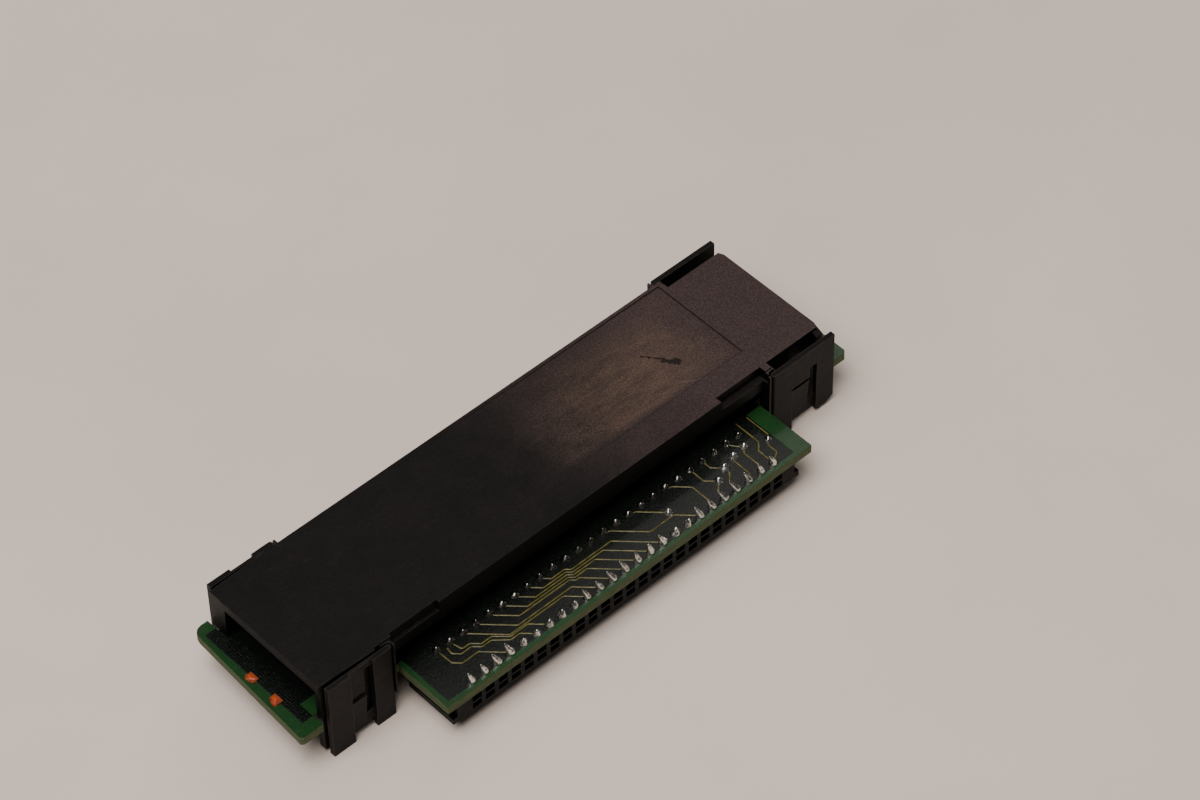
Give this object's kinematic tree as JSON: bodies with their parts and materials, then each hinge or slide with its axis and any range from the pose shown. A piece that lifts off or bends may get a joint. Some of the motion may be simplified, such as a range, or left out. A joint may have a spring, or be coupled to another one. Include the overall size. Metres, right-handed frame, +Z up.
{
  "type": "bus connector module",
  "caption": "Slim black clip-on cover over a T-shaped circuit board, with a side receptacle, a base receptacle and spring latches on both long sides.",
  "frame": {"origin": "centre of the overall box in plan, at the level of the latch feet", "axes": "+X along the cover toward the narrow end, side receptacle faces -Y, +Z up toward the cover's roof"},
  "size_m": [0.11, 0.037, 0.0155],
  "materials": {
    "cover_plastic": "fine spark-eroded texture, rubbed satin in places",
    "latch_plastic": "satin",
    "board_laminate": "green solder mask over dark ground plane",
    "socket_plastic": "satin",
    "contact_plating": "bright plating",
    "solder": "bright solder",
    "chip_epoxy": "matt epoxy",
    "lead_tin": "tin plate",
    "network_coat": "glossy dip coat",
    "capacitor_ceramic": "fired ceramic",
    "tank_resin": "moulded resin",
    "lamp_base": "white epoxy laminate",
    "lamp_lens": "clear orange resin"
  },
  "bodies": {
    "module": {"cover": "cover_plastic", "board": "board_laminate", "side_socket": "socket_plastic", "side_contacts_upper": "contact_plating", "side_contacts_lower": "contact_plating", "side_solder_front": "solder", "side_solder_rear": "solder", "test_posts": "solder", "base_socket": "socket_plastic", "base_contacts": "contact_plating", "base_solder": "solder", "driver_chips": "chip_epoxy", "driver_leads": "lead_tin", "resistor_networks": "network_coat", "resistor_leads": "lead_tin", "bypass_capacitors": "capacitor_ceramic", "capacitor_ends": "lead_tin", "tank_capacitor": "tank_resin", "tank_terminals": "lead_tin", "status_lamps": "lamp_base", "status_lenses": "lamp_lens"},
    "near_right": {"latch_near_right": "latch_plastic"},
    "near_left": {"latch_near_left": "latch_plastic"},
    "far_right": {"latch_far_right": "latch_plastic"},
    "far_left": {"latch_far_left": "latch_plastic"}
  },
  "joints": [
    {"name": "near_right_flex", "type": "hinge", "parent": "module", "child": "near_right", "pos_m": [-0.03835, -0.00863, 0], "axis": [0, 0, 1], "range_deg": [0, 3], "stiffness_Nm_per_rad": 0.05},
    {"name": "near_left_flex", "type": "hinge", "parent": "module", "child": "near_left", "pos_m": [-0.03835, 0.01792, 0], "axis": [0, 0, -1], "range_deg": [0, 3], "stiffness_Nm_per_rad": 0.05},
    {"name": "far_right_flex", "type": "hinge", "parent": "module", "child": "far_right", "pos_m": [0.03895, -0.00863, 0], "axis": [0, 0, 1], "range_deg": [0, 3.5], "stiffness_Nm_per_rad": 0.05},
    {"name": "far_left_flex", "type": "hinge", "parent": "module", "child": "far_left", "pos_m": [0.03895, 0.01808, 0], "axis": [0, 0, -1], "range_deg": [0, 3.5], "stiffness_Nm_per_rad": 0.05}
  ]
}
